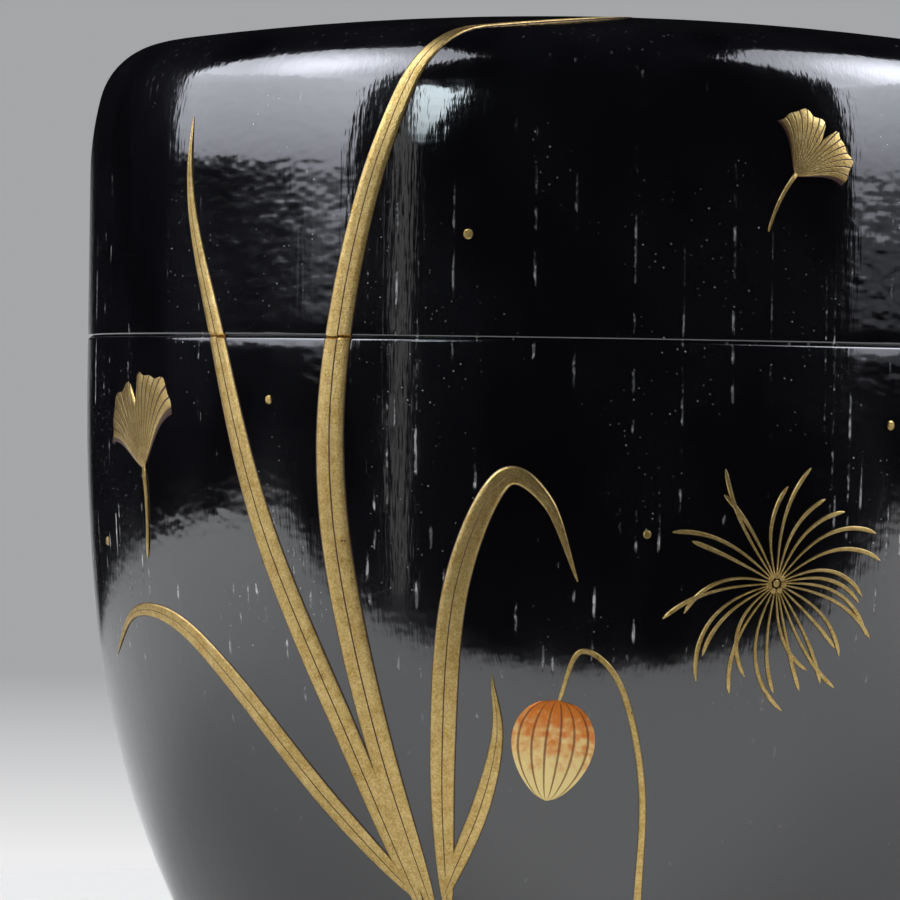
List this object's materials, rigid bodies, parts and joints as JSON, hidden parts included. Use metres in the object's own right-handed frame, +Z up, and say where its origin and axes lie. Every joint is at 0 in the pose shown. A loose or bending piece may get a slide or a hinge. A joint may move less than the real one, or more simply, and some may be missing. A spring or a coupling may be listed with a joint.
{
  "type": "lidded tea caddy",
  "caption": "Small round lidded caddy of turned, lacquered wood for powdered tea; the lid drops over a raised neck and sits flush with the body.",
  "frame": {"origin": "centre of the foot ring, on the surface that the caddy stands on", "axes": "+Z up along the turning axis; the caddy is round about it; the decorated front faces -Y"},
  "size_m": [0.066, 0.066, 0.0658],
  "materials": {
    "turned_wood": "fine-grained hardwood turned on a lathe, sealed under lacquer",
    "black_lacquer": "polished black urushi lacquer, with the wood's pores sunk a little into it",
    "gold_powder": "sprinkled gold powder figures, slightly raised, satin"
  },
  "bodies": {
    "body": {"body_wood_core": "turned_wood", "body_outer_lacquer": "black_lacquer", "body_base_lacquer": "black_lacquer", "body_inner_lacquer": "black_lacquer"},
    "lid": {"lid_wood_core": "turned_wood", "lid_outer_lacquer": "black_lacquer", "lid_inner_lacquer": "black_lacquer"}
  },
  "joints": [
    {"name": "lid_lift", "type": "slide", "parent": "body", "child": "lid", "axis": [0, 0, 1], "range_m": [0, 0.07]}
  ]
}
